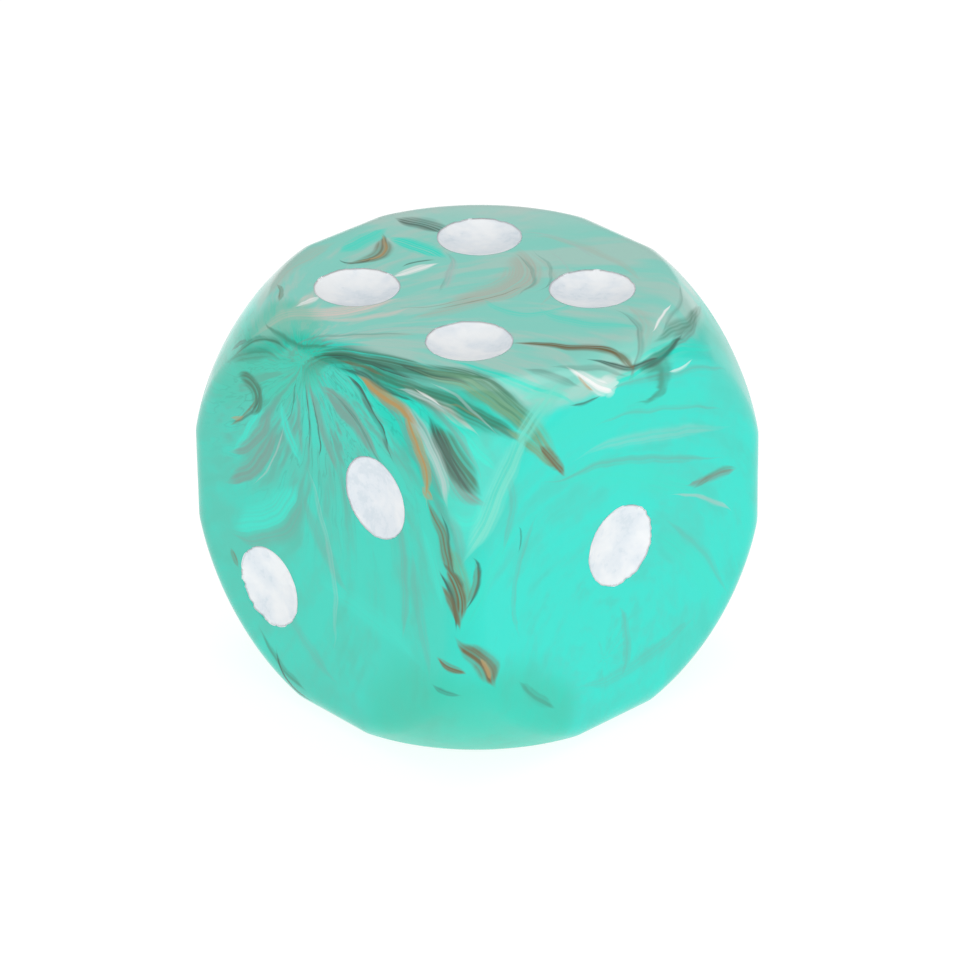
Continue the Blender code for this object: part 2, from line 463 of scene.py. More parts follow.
strand_places = ("Place", "Centre", "Middle")
strand_sizes = ("Ragged", "Below", "Radius", "Half Length", "Inside", "Outside", "Strength")
strand_values = dict.fromkeys(strand_places, Vector()) | dict.fromkeys(strand_sizes, 0.0)
strand_tree, laid = new_tree("ShaderNodeTree", "strand", strand_values, "Float")
half_length, inside, outside = (laid.out(name) for name in ("Half Length", "Inside", "Outside"))
from_middle = laid.math("DISTANCE", laid.out("Middle"))
lane = laid.math("DISTANCE", laid.out("Centre"))
tip = half_length * 1.02
width = ease(from_middle, tip, half_length * 0.3, 0.05, 1)
off = (lane + laid.out("Ragged") - laid.out("Radius")) / width
comb = {"W": lane, "Scale": 130, "Detail": 0}
combed = add(strand_tree, "ShaderNodeTexNoise", {"noise_dimensions": "1D"}, comb)
combed = ease(combed, 0.3, 0.6, 0.55, 1) * ease(from_middle, tip, half_length * 0.6, 0, laid.out("Strength"))
shown = ease(off, inside * -1, inside * -0.35) * ease(off, outside, 0) * combed
add(strand_tree, "NodeGroupOutput", {}, {0: shown.math("MAXIMUM", laid.out("Below"))})

pool_sizes = ("Ragged", "Below", "Radius", "Strength")
pool_values = dict.fromkeys(("Place", "Centre"), Vector()) | dict.fromkeys(pool_sizes, 0.0)
pool_tree, laid = new_tree("ShaderNodeTree", "pool", pool_values, "Float")
off = laid.math("DISTANCE", laid.out("Centre")) + laid.out("Ragged") * 1.6
shown = ease(off, laid.out("Radius") * 1.15, laid.out("Radius") * 0.75, 0, laid.out("Strength"))
add(pool_tree, "NodeGroupOutput", {}, {0: shown.math("MAXIMUM", laid.out("Below"))})


def strand(face, start, middle, end, inside, outside, strength=1.0):
    """A strand along the arc through three points of a face, which thins out to nothing at both its ends.

    It reaches inside towards the arc's centre, and outside away from it, so a small reach gives a crisp edge.
    """
    points = first, second, third = [spot(face, *point) for point in (start, middle, end)]
    centre, radius = ball_through(face, first, second, third)
    half = max((first - second).length, (third - second).length)
    shape = {"Centre": centre, "Radius": radius, "Middle": second, "Half Length": half}
    shape |= {"Inside": inside, "Outside": outside, "Strength": strength}
    return strand_tree, points, max(inside, outside), shape


def pool(face, across, up, radius, strength=1.0):
    """A round patch with a torn edge."""
    middle = spot(face, across, up)
    return pool_tree, [middle], radius, {"Centre": middle, "Radius": radius, "Strength": strength}


# The ground: bright turquoise, dulled in broad soft patches, and combed into fine lanes near the pinches
dull = noise(from_centre, 2.4, 3, 0.6, 7.0)
felt = noise(from_centre * (1, 1, 0.7), 26, 3, 0.7, 2.0)
dulled = ease(dull * 0.5 + streaks * 0.5 + (felt - 0.5) * 0.16, 0.42, 0.60)
ground = blend(tint("14D9C4"), tint("40C7B3"), dulled)
ground = blend(ground, tint("30C0A9"), ease(streaks + (felt - 0.5) * 0.1, 0.54, 0.70) * 0.45)
ground = blend(ground, tint("20E2D4"), on_right * 0.4)
ground = blend(ground, tint("38BFA8"), ease(axis.out("Y"), -0.40, -0.50) * 0.3)
beside = [ease(drift.math("DISTANCE", pinch), 0.62, 0.12) for pinch in (near_pinch, far_pinch)]
near = beside[0] + beside[1]
ground = blend(ground, tint("5E9A8E"), ease(streaks, 0.50, 0.62) * near * 0.8)
ground = blend(ground, tint("2E6152"), ease((streaks - 0.46).math("ABSOLUTE"), 0.022, 0.0) * near * 0.35)

# The four's pale aqua ground, with a torn edge over the rounded edges of the die. The top is painted paler
# and greyer than the sides, partly the resin's own colour and partly painted reflection of the overhead light
ledge = (axis.out("Y") + 0.42 - axis * 0.25).math("MINIMUM", axis.out("Z") - 0.425)
pale = ease(ledge + ragged * 1.4, -0.012, 0.03)
# Painted reflection: the four whitens towards its far rim, where the overhead light glances off it
far_rim_painted_reflection = ease(axis.out("Y") - axis, 0.35, 0.90) * 0.9
ground = blend(ground, blend(tint("80D2C3"), tint("A0CDC1"), ease(streaks, 0.44, 0.60)), pale)
ground = blend(ground, tint("C6CECA"), pale * far_rim_painted_reflection)

# Sage and beige clouds on the four and the hidden faces
sage = (
    strand("four", (0.015, -0.145), (0.08, 0.08), (-0.075, 0.21), 0.12, 0.03),
    strand("four", (0.015, -0.19), (0.06, -0.08), (0.1, 0.075), 0.03, 0.03, 0.7),
    strand("four", (0.17, 0.07), (0.095, 0.17), (-0.06, 0.25), 0.012, 0.012, 0.5),
    strand("four", (-0.37, -0.405), (-0.385, -0.245), (-0.41, -0.055), 0.04, 0.06, 0.6),
    strand("four", (0.31, 0.21), (0.425, 0.155), (0.5, 0.065), 0.03, 0.05, 0.5),
    strand("four", (0.09, -0.255), (0.025, -0.335), (-0.045, -0.41), 0.02, 0.02, 0.6),
    strand("four", (-0.055, 0.31), (0.065, 0.355), (0.27, 0.325), 0.02, 0.02, 0.5),
    strand("five", (0.30, 0.10), (0.05, 0.26), (-0.25, 0.18), 0.10, 0.03, 0.9),
    strand("six", (0.38, 0.30), (0.30, 0.05), (0.40, -0.25), 0.10, 0.04, 0.8),
    strand("three", (-0.3, 0.35), (-0.1, 0.1), (0.2, 0.05), 0.10, 0.03, 0.7),
)
beige = (
    strand("four", (-0.26, -0.465), (-0.135, -0.345), (-0.065, -0.15), 0.05, 0.03),
    strand("four", (-0.115, -0.35), (-0.06, -0.295), (-0.01, -0.17), 0.02, 0.015, 0.6),
    strand("four", (-0.2, -0.44), (-0.205, -0.36), (-0.245, -0.28), 0.03, 0.02, 0.6),
    strand("two", (0.25, 0.555), (0.4, 0.555), (0.57, 0.52), 0.022, 0.016, 0.8),
    strand("five", (0.36, 0.42), (0.2, 0.34), (0.02, 0.38), 0.06, 0.03, 0.8),
    strand("six", (-0.30, -0.1), (-0.33, -0.3), (-0.2, -0.45), 0.07, 0.03, 0.6),
)
# Jade pools round the near pinch and low down
jade = (
    pool("two", -0.20, 0.46, 0.15, 0.45),
    pool("two", -0.36, 0.38, 0.12, 0.3),
    pool("two", -0.05, 0.47, 0.07, 0.5),
    pool("four", -0.25, -0.52, 0.10, 0.5),
    pool("two", 0.50, -0.52, 0.26, 0.5),
    pool("one", -0.35, -0.42, 0.18, 0.5),
    pool("six", -0.12, -0.40, 0.16, 0.8),
    pool("five", 0.45, -0.35, 0.2, 0.6),
    pool("three", 0.1, -0.3, 0.22, 0.5),
)
# Clean turquoise lobes that were poured last
bright = (
    strand("four", (-0.355, -0.105), (-0.37, -0.015), (-0.39, 0.085), 0.04, 0.04, 0.8),
    strand("four", (-0.355, 0.045), (-0.26, 0.06), (-0.17, 0.055), 0.06, 0.05),
    strand("four", (0.23, -0.3), (0.405, -0.26), (0.545, -0.18), 0.02, 0.03, 0.9),
    strand("two", (0.375, 0.53), (0.51, 0.49), (0.645, 0.43), 0.03, 0.03),
    strand("two", (0.455, 0.285), (0.51, 0.24), (0.55, 0.335), 0.03, 0.02, 0.9),
    strand("two", (-0.325, 0.13), (-0.245, 0.215), (-0.18, 0.35), 0.02, 0.02),
    strand("two", (-0.34, -0.105), (-0.17, -0.02), (-0.075, 0.12), 0.1, 0.008),
    strand("two", (-0.13, 0.33), (-0.11, 0.25), (-0.06, 0.18), 0.03, 0.02, 0.9),
    strand("two", (0.17, 0.425), (0.23, 0.395), (0.285, 0.33), 0.012, 0.012, 0.8),
    strand("two", (0.35, 0.195), (0.405, 0.095), (0.44, -0.01), 0.03, 0.02, 0.7),
    strand("one", (-0.005, 0.44), (0.17, 0.455), (0.43, 0.425), 0.03, 0.04),
    strand("one", (-0.17, 0.245), (0.05, 0.18), (0.33, 0.015), 0.06, 0.03, 0.7),
    strand("one", (-0.46, 0), (-0.425, 0.075), (-0.32, 0.205), 0.03, 0.03, 0.7),
    strand("one", (-0.295, 0.37), (-0.005, 0.37), (0.36, 0.275), 0.06, 0.05, 0.6),
    strand("one", (0.105, 0.005), (0.25, -0.14), (0.31, -0.305), 0.05, 0.05, 0.6),
    strand("two", (-0.03, -0.11), (0.175, -0.115), (0.34, -0.185), 0.06, 0.05, 0.5),
    strand("four", (0.18, 0.025), (0.325, 0.05), (0.4, 0.125), 0.03, 0.02, 0.5),
    strand("four", (0.055, -0.075), (0.205, 0.005), (0.21, 0.11), 0.015, 0.02, 0.5),
    strand("five", (0.42, 0.0), (0.15, 0.08), (-0.2, -0.12), 0.10, 0.03),
    strand("six", (0.1, 0.42), (-0.12, 0.15), (-0.05, -0.25), 0.07, 0.02),
    strand("three", (0.35, 0.25), (0.12, -0.02), (-0.25, -0.1), 0.09, 0.03),
)
# Grey-green, forest green and olive strands, soft inside their curve and crisp outside it
grey_green = (
    strand("two", (-0.005, 0.43), (0.135, 0.405), (0.215, 0.305), 0.06, 0.01, 0.9),
    strand("two", (-0.035, 0.42), (0.015, 0.315), (0.08, 0.195), 0.04, 0.01, 0.8),
    strand("two", (-0.08, 0.405), (-0.075, 0.3), (-0.06, 0.2), 0.02, 0.006, 0.6),
    strand("two", (-0.325, 0.13), (-0.225, 0.185), (-0.155, 0.305), 0.035, 0.02, 0.9),
    strand("two", (-0.33, 0.04), (-0.22, 0.115), (-0.13, 0.26), 0.055, 0.012, 0.95),
    strand("two", (0.305, 0.525), (0.425, 0.52), (0.625, 0.4), 0.02, 0.006, 0.7),
    strand("two", (0.37, 0.465), (0.45, 0.365), (0.575, 0.32), 0.03, 0.05),
    strand("two", (0.295, 0.44), (0.35, 0.355), (0.44, 0.27), 0.02, 0.02, 0.7),
    strand("four", (-0.075, 0.21), (0.045, 0.145), (0.1, 0.045), 0.004, 0.012, 0.8),
    strand("four", (-0.06, 0.25), (0.06, 0.19), (0.115, 0.09), 0.004, 0.008, 0.7),
    strand("four", (-0.2, 0.08), (-0.105, 0.02), (-0.03, -0.085), 0.01, 0.01, 0.5),
    strand("four", (0.305, 0.18), (0.44, 0.12), (0.52, 0.045), 0.01, 0.015, 0.7),
    strand("four", (0.375, 0.47), (0.5, 0.335), (0.555, 0.165), 0.03, 0.01, 0.8),
    strand("four", (0.295, 0.42), (0.405, 0.31), (0.475, 0.2), 0.01, 0.008, 0.6),
    strand("four", (0.38, -0.205), (0.45, -0.17), (0.515, -0.13), 0.015, 0.02, 0.7),
    strand("one", (0.205, 0.085), (0.295, 0.07), (0.36, 0.065), 0.015, 0.02, 0.9),
    strand("one", (-0.005, -0.16), (0.025, -0.265), (0.005, -0.35), 0.02, 0.015, 0.4),
    strand("two", (0.325, 0.125), (0.345, -0.05), (0.375, -0.215), 0.03, 0.03, 0.3),
    strand("two", (0.18, 0.485), (0.3, 0.41), (0.355, 0.27), 0.012, 0.02, 0.6),
    strand("one", (-0.36, 0.315), (-0.35, 0.225), (-0.385, 0.105), 0.02, 0.02, 0.35),
    strand("two", (-0.2, -0.13), (-0.095, -0.275), (0.06, -0.38), 0.03, 0.03, 0.3),
    strand("one", (-0.175, -0.325), (0.05, -0.34), (0.25, -0.28), 0.03, 0.03, 0.25),
    strand("one", (-0.22, 0.255), (0.05, 0.21), (0.36, 0.105), 0.02, 0.012, 0.45),
    strand("one", (-0.06, 0.425), (0.16, 0.4), (0.415, 0.34), 0.014, 0.01, 0.4),
    strand("one", (-0.08, 0.345), (0.135, 0.32), (0.36, 0.23), 0.012, 0.008, 0.35),
    strand("one", (0.15, 0.01), (0.275, -0.115), (0.365, -0.28), 0.02, 0.014, 0.3),
    strand("one", (-0.275, 0.15), (-0.33, 0.04), (-0.345, -0.135), 0.014, 0.01, 0.35),
    strand("two", (-0.055, 0.09), (-0.01, -0.01), (0.095, -0.105), 0.05, 0.02, 0.35),
    strand("two", (0.28, 0.15), (0.31, 0.03), (0.295, -0.16), 0.03, 0.012, 0.4),
    strand("four", (0.095, -0.26), (-0.025, -0.375), (-0.1, -0.475), 0.008, 0.01, 0.6),
    strand("two", (0.395, 0.285), (0.465, 0.215), (0.51, 0.095), 0.03, 0.02, 0.5),
    strand("four", (0.425, -0.15), (0.485, -0.06), (0.57, 0.055), 0.012, 0.01, 0.6),
    strand("two", (-0.315, -0.1), (-0.16, -0.05), (-0.045, 0.115), 0.02, 0.03, 0.5),
    strand("five", (0.35, 0.20), (0.10, 0.30), (-0.25, 0.25), 0.10, 0.008, 0.8),
    strand("five", (0.30, -0.10), (0.0, 0.0), (-0.2, -0.3), 0.07, 0.01, 0.7),
    strand("five", (-0.05, -0.2), (0.15, -0.3), (0.35, -0.28), 0.06, 0.01, 0.7),
    strand("six", (0.0, -0.38), (0.2, -0.15), (0.22, 0.2), 0.09, 0.008, 0.8),
    strand("six", (-0.2, -0.3), (-0.3, 0.0), (-0.22, 0.3), 0.06, 0.01, 0.7),
    strand("three", (-0.4, -0.1), (-0.1, -0.25), (0.3, -0.15), 0.09, 0.01, 0.8),
    strand("three", (-0.3, 0.1), (0.0, 0.22), (0.35, 0.1), 0.07, 0.01, 0.7),
)
forest = (
    strand("four", (-0.025, -0.49), (0.21, -0.385), (0.675, -0.33), 0.035, 0.06),
    strand("two", (0.065, 0.52), (0.395, 0.595), (1.03, 0.67), 0.05, 0.02, 0.9),
    strand("four", (0.235, -0.345), (0.415, -0.32), (0.785, -0.35), 0.04, 0.03),
    strand("four", (-0.03, -0.475), (0.085, -0.4), (0.235, -0.345), 0.012, 0.012, 0.9),
    strand("two", (0.38, 0.485), (0.455, 0.4), (0.57, 0.34), 0.05, 0.045),
    strand("four", (0.49, 0.21), (0.475, 0.33), (0.385, 0.545), 0.03, 0.02, 0.6),
    strand("four", (0.545, 0.055), (0.58, 0.16), (0.535, 0.295), 0.008, 0.008, 0.7),
    strand("two", (-0.29, 0.34), (-0.21, 0.33), (-0.245, 0.25), 0.05, 0.02),
    strand("two", (-0.225, -0.345), (-0.165, -0.395), (-0.065, -0.44), 0.02, 0.01, 0.6),
    strand("two", (-0.325, 0.375), (-0.265, 0.47), (-0.12, 0.505), 0.012, 0.012, 0.8),
    strand("four", (-0.3, -0.48), (-0.125, -0.485), (-0.04, -0.455), 0.01, 0.01, 0.6),
    strand("one", (-0.325, -0.245), (-0.28, -0.3), (-0.215, -0.36), 0.02, 0.015, 0.5),
    strand("two", (-0.35, 0.37), (-0.25, 0.42), (-0.125, 0.45), 0.02, 0.02, 0.6),
    strand("five", (0.44, 0.36), (0.1, 0.42), (-0.3, 0.34), 0.05, 0.02, 0.9),
    strand("six", (-0.13, -0.42), (0.05, -0.1), (0.02, 0.34), 0.05, 0.015, 0.9),
    strand("six", (-0.44, -0.3), (-0.42, 0.0), (-0.30, 0.33), 0.05, 0.015, 0.8),
    strand("three", (-0.42, 0.3), (-0.05, 0.36), (0.36, 0.30), 0.05, 0.02, 0.8),
)
olive = (
    strand("four", (0.265, -0.375), (0.47, -0.345), (1.035, -0.33), 0.022, 0.045),
    strand("one", (-0.32, 0.41), (-0.26, 0.35), (-0.185, 0.28), 0.022, 0.022, 0.95),
    strand("four", (0.21, -0.365), (0.29, -0.345), (0.415, -0.32), 0.008, 0.015, 0.6),
    strand("two", (0.465, 0.15), (0.495, 0.095), (0.52, -0.005), 0.022, 0.022, 0.7),
)
# Dark seams, and pale grey threads beside some of them
dark = (
    strand("four", (-0.01, -0.495), (0.115, -0.45), (0.275, -0.405), 0.008, 0.016),
    strand("two", (0.045, 0.49), (0.185, 0.5), (0.33, 0.515), 0.012, 0.006, 0.7),
    strand("four", (0.155, -0.4), (0.265, -0.375), (0.365, -0.36), 0.006, 0.02, 0.7),
    strand("two", (-0.02, 0.39), (0.005, 0.32), (0.005, 0.225), 0.005, 0.005, 0.95),
    strand("two", (-0.05, 0.415), (-0.03, 0.335), (-0.03, 0.22), 0.004, 0.004, 0.8),
    strand("two", (-0.08, 0.425), (-0.09, 0.35), (-0.11, 0.27), 0.003, 0.003, 0.6),
    strand("two", (0.09, 0.47), (0.205, 0.425), (0.275, 0.3), 0.012, 0.003, 0.9),
    strand("two", (0.04, 0.45), (0.16, 0.38), (0.205, 0.305), 0.008, 0.003, 0.6),
    strand("two", (0.385, 0.475), (0.435, 0.4), (0.5, 0.335), 0.028, 0.03, 0.85),
    strand("two", (-0.32, 0.215), (-0.245, 0.26), (-0.195, 0.35), 0.004, 0.006, 0.8),
    strand("four", (-0.415, 0.12), (-0.35, 0.145), (-0.27, 0.155), 0.03, 0.05, 0.8),
    strand("four", (-0.2, -0.06), (-0.2, -0.01), (-0.18, 0.03), 0.004, 0.008, 0.7),
    strand("four", (-0.31, -0.125), (-0.285, -0.115), (-0.28, -0.065), 0.006, 0.006, 0.7),
    strand("four", (0.47, -0.03), (0.535, 0.04), (0.575, 0.17), 0.01, 0.012, 0.9),
    strand("four", (0.51, 0.29), (0.56, 0.18), (0.565, 0.105), 0.01, 0.008, 0.7),
    strand("one", (-0.165, 0.43), (-0.105, 0.425), (-0.05, 0.425), 0.006, 0.006, 0.7),
    strand("two", (0.44, 0.07), (0.47, 0.03), (0.495, -0.05), 0.008, 0.01, 0.9),
    strand("two", (0.535, 0.125), (0.55, 0.075), (0.515, -0.005), 0.006, 0.008, 0.8),
    strand("two", (0.455, 0.105), (0.475, 0.09), (0.51, 0.05), 0.01, 0.01, 0.6),
    strand("one", (-0.325, 0.17), (-0.315, 0.13), (-0.32, 0.1), 0.004, 0.004, 0.6),
    strand("two", (-0.2, -0.355), (-0.14, -0.435), (-0.085, -0.455), 0.012, 0.006, 0.8),
    strand("two", (-0.385, 0.39), (-0.35, 0.43), (-0.31, 0.445), 0.01, 0.01, 0.8),
    strand("two", (0.31, 0.48), (0.365, 0.42), (0.415, 0.355), 0.004, 0.006, 0.6),
    strand("two", (0.42, 0.265), (0.455, 0.165), (0.475, 0.09), 0.006, 0.004, 0.7),
    strand("two", (0.385, -0.215), (0.425, -0.23), (0.49, -0.255), 0.012, 0.01, 0.6),
    strand("two", (0.375, 0.48), (0.435, 0.4), (0.545, 0.33), 0.022, 0.03, 0.8),
    strand("five", (0.40, 0.22), (0.12, 0.335), (-0.28, 0.27), 0.012, 0.004, 0.8),
    strand("five", (0.32, -0.12), (0.02, 0.01), (-0.2, -0.30), 0.008, 0.004, 0.7),
    strand("five", (0.46, 0.40), (0.28, 0.44), (0.05, 0.43), 0.02, 0.012, 0.9),
    strand("five", (-0.42, -0.1), (-0.36, -0.25), (-0.24, -0.36), 0.02, 0.02, 0.7),
    strand("six", (-0.12, -0.43), (-0.02, -0.28), (0.03, -0.08), 0.02, 0.01),
    strand("six", (0.02, -0.40), (0.22, -0.15), (0.235, 0.2), 0.008, 0.004, 0.8),
    strand("six", (-0.22, -0.32), (-0.315, 0.0), (-0.23, 0.31), 0.006, 0.004, 0.7),
    strand("three", (-0.42, -0.12), (-0.1, -0.265), (0.32, -0.16), 0.008, 0.004, 0.8),
    strand("three", (0.30, 0.33), (0.40, 0.18), (0.44, -0.05), 0.03, 0.015, 0.8),
)
threads = (
    strand("two", (0.255, 0.53), (0.35, 0.55), (0.455, 0.535), 0.01, 0.01, 0.9),
    strand("two", (0.265, 0.5), (0.375, 0.395), (0.44, 0.27), 0.018, 0.024, 0.95),
    strand("two", (0.35, 0.635), (0.51, 0.62), (0.67, 0.575), 0.006, 0.004, 0.5),
    strand("four", (-0.18, 0.075), (-0.1, 0.025), (-0.04, -0.045), 0.022, 0.012, 0.8),
    strand("four", (-0.05, 0.285), (0.09, 0.22), (0.16, 0.11), 0.006, 0.004, 0.5),
    strand("one", (0.15, 0.08), (0.275, 0.03), (0.365, -0.045), 0.01, 0.006, 0.6),
    strand("two", (-0.255, 0.05), (-0.165, 0.16), (-0.12, 0.265), 0.005, 0.004, 0.6),
    strand("two", (-0.02, 0.125), (0.035, -0.035), (0.06, -0.305), 0.02, 0.006, 0.3),
    strand("one", (-0.17, 0.29), (0.105, 0.26), (0.36, 0.185), 0.03, 0.02, 0.3),
    strand("four", (-0.125, 0.29), (-0.03, 0.335), (0.115, 0.33), 0.008, 0.008, 0.5),
    strand("four", (-0.065, -0.425), (0.025, -0.285), (0.12, -0.135), 0.012, 0.008, 0.4),
    strand("five", (0.38, 0.02), (0.1, 0.13), (-0.22, 0.0), 0.03, 0.008, 0.6),
    strand("six", (-0.06, -0.38), (0.12, -0.1), (0.1, 0.3), 0.03, 0.008, 0.6),
    strand("three", (0.38, 0.18), (0.1, 0.0), (-0.3, 0.0), 0.03, 0.008, 0.6),
)
# Brown strands and copper dust
brown = (
    strand("four", (0.255, -0.15), (0.39, -0.05), (0.52, 0.045), 0.022, 0.018),
    strand("four", (0.46, 0.01), (0.5, 0.04), (0.555, 0.06), 0.012, 0.012, 0.8),
    strand("four", (-0.37, 0.055), (-0.295, -0.03), (-0.295, -0.12), 0.03, 0.02, 0.9),
    strand("four", (-0.345, -0.31), (-0.3, -0.335), (-0.255, -0.385), 0.01, 0.008, 0.8),
    strand("four", (-0.005, -0.175), (0.065, -0.04), (0.07, 0.085), 0.004, 0.004, 0.6),
    strand("four", (-0.05, -0.195), (0.01, -0.12), (0.05, -0.005), 0.003, 0.003, 0.5),
    strand("two", (0.365, 0.28), (0.44, 0.175), (0.475, 0.055), 0.024, 0.014),
    strand("two", (0.455, 0.105), (0.49, 0.05), (0.505, -0.025), 0.024, 0.022),
    strand("two", (0.535, 0.115), (0.54, 0.07), (0.505, 0.005), 0.01, 0.01, 0.8),
    strand("two", (0.505, -0.09), (0.565, -0.16), (0.635, -0.295), 0.035, 0.03),
    strand("two", (0.395, -0.14), (0.44, -0.15), (0.5, -0.18), 0.022, 0.022, 0.95),
    strand("one", (-0.25, 0.355), (-0.215, 0.315), (-0.18, 0.26), 0.018, 0.022),
    strand("two", (-0.32, 0.205), (-0.265, 0.245), (-0.215, 0.32), 0.008, 0.006, 0.7),
    strand("two", (-0.34, -0.15), (-0.325, -0.175), (-0.31, -0.195), 0.014, 0.014, 0.7),
    strand("one", (0.225, 0.07), (0.305, 0.078), (0.36, 0.07), 0.012, 0.016, 0.5),
    strand("four", (0.035, -0.49), (0.115, -0.47), (0.205, -0.455), 0.005, 0.006, 0.7),
    strand("two", (0.44, 0.045), (0.475, 0.015), (0.505, -0.045), 0.016, 0.014, 0.9),
    strand("five", (0.42, 0.38), (0.25, 0.42), (0.08, 0.40), 0.02, 0.015, 0.9),
    strand("five", (-0.44, -0.05), (-0.40, -0.2), (-0.30, -0.33), 0.02, 0.012, 0.8),
    strand("six", (-0.10, -0.36), (-0.0, -0.15), (0.0, 0.08), 0.02, 0.01, 0.9),
    strand("three", (0.33, 0.30), (0.41, 0.15), (0.43, -0.02), 0.02, 0.015, 0.9),
)
copper = (
    strand("two", (0.11, 0.495), (0.24, 0.49), (0.345, 0.43), 0.024, 0.014),
    strand("two", (0.29, 0.47), (0.35, 0.375), (0.38, 0.235), 0.02, 0.012),
    strand("two", (0.35, 0.285), (0.37, 0.275), (0.4, 0.27), 0.016, 0.01, 0.8),
    strand("four", (-0.37, 0.055), (-0.3, -0.02), (-0.295, -0.085), 0.006, 0.008, 0.9),
    strand("four", (0.475, -0.105), (0.515, -0.11), (0.565, -0.09), 0.004, 0.008, 0.9),
    strand("two", (-0.32, 0.22), (-0.29, 0.23), (-0.26, 0.25), 0.006, 0.006, 0.9),
    strand("two", (0.545, -0.135), (0.575, -0.185), (0.6, -0.245), 0.008, 0.008, 0.8),
    strand("two", (0.18, 0.485), (0.265, 0.48), (0.34, 0.43), 0.005, 0.005, 0.8),
    strand("two", (0.4, 0.555), (0.51, 0.595), (0.585, 0.585), 0.004, 0.004, 0.4),
    strand("five", (0.38, 0.40), (0.22, 0.43), (0.10, 0.42), 0.010, 0.010),
    strand("six", (-0.08, -0.32), (0.0, -0.16), (0.0, 0.02), 0.010, 0.006),
    strand("six", (0.32, 0.36), (0.38, 0.28), (0.38, 0.18), 0.012, 0.010, 0.9),
    strand("three", (0.36, 0.27), (0.415, 0.14), (0.43, 0.02), 0.010, 0.006),
)
# Pale mint over the near corner and down the near edge, a painted highlight laid as strands, and white flecks
# and wisps
mint_and_painted_highlight = (
    strand("one", (-0.19, 0.51), (-0.255, 0.44), (-0.335, 0.36), 0.03, 0.03, 0.85),
    strand("one", (-0.15, 0.465), (-0.225, 0.49), (-0.295, 0.52), 0.03, 0.03, 0.7),
    strand("two", (0.94, 0.82), (0.64, 0.36), (0.505, 0.145), 0.03, 0.045, 0.95),
)
white = (
    strand("four", (0.48, -0.105), (0.54, -0.075), (0.62, -0.005), 0.022, 0.022),
    strand("four", (-0.175, -0.095), (-0.17, -0.04), (-0.165, 0.03), 0.02, 0.016, 0.95),
    strand("four", (0.375, 0.3), (0.43, 0.23), (0.465, 0.145), 0.005, 0.005, 0.9),
    strand("four", (-0.21, -0.385), (-0.21, -0.335), (-0.22, -0.295), 0.01, 0.01, 0.8),
    strand("one", (0.16, 0.405), (0.205, 0.4), (0.23, 0.4), 0.006, 0.008, 0.6),
    strand("two", (0.315, 0.57), (0.37, 0.565), (0.41, 0.55), 0.005, 0.005, 0.6),
    strand("four", (0.55, -0.04), (0.58, -0.02), (0.565, -0.005), 0.006, 0.006, 0.7),
    strand("four", (0.52, -0.07), (0.555, -0.03), (0.605, 0.005), 0.006, 0.006, 0.5),
    strand("five", (0.24, 0.26), (0.10, 0.31), (-0.05, 0.31), 0.008, 0.005, 0.8),
    strand("six", (0.12, -0.2), (0.17, -0.05), (0.17, 0.12), 0.008, 0.005, 0.8),
    strand("three", (-0.2, -0.18), (-0.02, -0.23), (0.15, -0.2), 0.008, 0.005, 0.8),
)

# The pours in the order that they went in, each with its colour
POURS = {
    "A9B9AC": sage,
    "D2CAC2": beige,
    "22BC9C": jade,
    "1EDCC6": bright,
    "6B9C90": grey_green,
    "33785F": forest,
    "6FA582": olive,
    "294B3E": dark,
    "A4C2BC": threads,
    "6A6240": brown,
    "B0935F": copper,
    # The mint pour is a painted highlight over the near corner and the near edge
    "74DBC7": mint_and_painted_highlight,
    "EFF1EF": white,
}


STRAY = 0.05  # how far the drift and the torn edges can carry a strand past its own reach


def reaches(face, points, reach):
    """Whether a strand through the points can show on a face, or on the rounding next to it."""
    outward = face_rotation(face).col[2]
    halfway = [(before + after) / 2 for before, after in zip(points, points[1:])]
    spread = reach + STRAY
    return any(point.dot(outward) + spread > max(abs(share) for share in point) for point in points + halfway)


# Handling has dulled the gloss in faint smears, and the tumbler left the skin very slightly rippled
smears = noise(from_centre, 9, 3, 0.6, 4.0)
handled = ease(smears, 0.35, 0.72, 0.13, 0.26)
ripples = noise(from_centre, 7, 2, 0.5, 12.0) + noise(from_centre, 90, 1, 0.5, 13.0) * 0.05
rippled = add(marble, "ShaderNodeBump", {}, {"Strength": 0.35, "Distance": 0.00012, "Height": ripples})


def poured(face):
    """One face's gloss resin, with only the strands that can show on it.

    Each pour shoves the next one a little.
    """
    given = {"Place": Vector(), "Ragged": 0.0, "Ground": ()}
    tree, laid = new_tree("ShaderNodeTree", f"{face}_pours", given, "Color")
    place, ragged_here, colour = laid, laid.out("Ragged"), laid.out("Ground")
    for code, pours in POURS.items():
        amount = 0.0
        for kind, points, reach, shape in pours:
            if reaches(face, points, reach):
                here = {"Place": place, "Ragged": ragged_here, "Below": amount}
                amount = add(tree, "ShaderNodeGroup", {"node_tree": kind}, here | shape)
        if amount:
            colour = blend(colour, tint(code), amount)
            shove = {0: (0.003, -0.002, 0.002), "Scale": amount}
            place = place + add(tree, "ShaderNodeVectorMath", {"operation": "SCALE"}, shove)
    add(tree, "NodeGroupOutput", {}, {0: colour})
    streams = {"Place": drift, "Ragged": ragged, "Ground": ground}
    colour = add(marble, "ShaderNodeGroup", {"node_tree": tree}, streams)
    gloss = {"Base Color": colour, "Roughness": handled, "Normal": rippled}
    return add(marble, "ShaderNodeBsdfPrincipled", {}, gloss)


marble.nodes.remove(marble.nodes["Principled BSDF"])
extent = add(marble, "ShaderNodeSeparateXYZ", {}, {0: from_centre.math("ABSOLUTE")})
toward = add(marble, "ShaderNodeSeparateXYZ", {}, {0: from_centre})


def either(choice, first, second):
    return add(marble, "ShaderNodeMixShader", {}, {"Fac": choice, 1: first, 2: second})


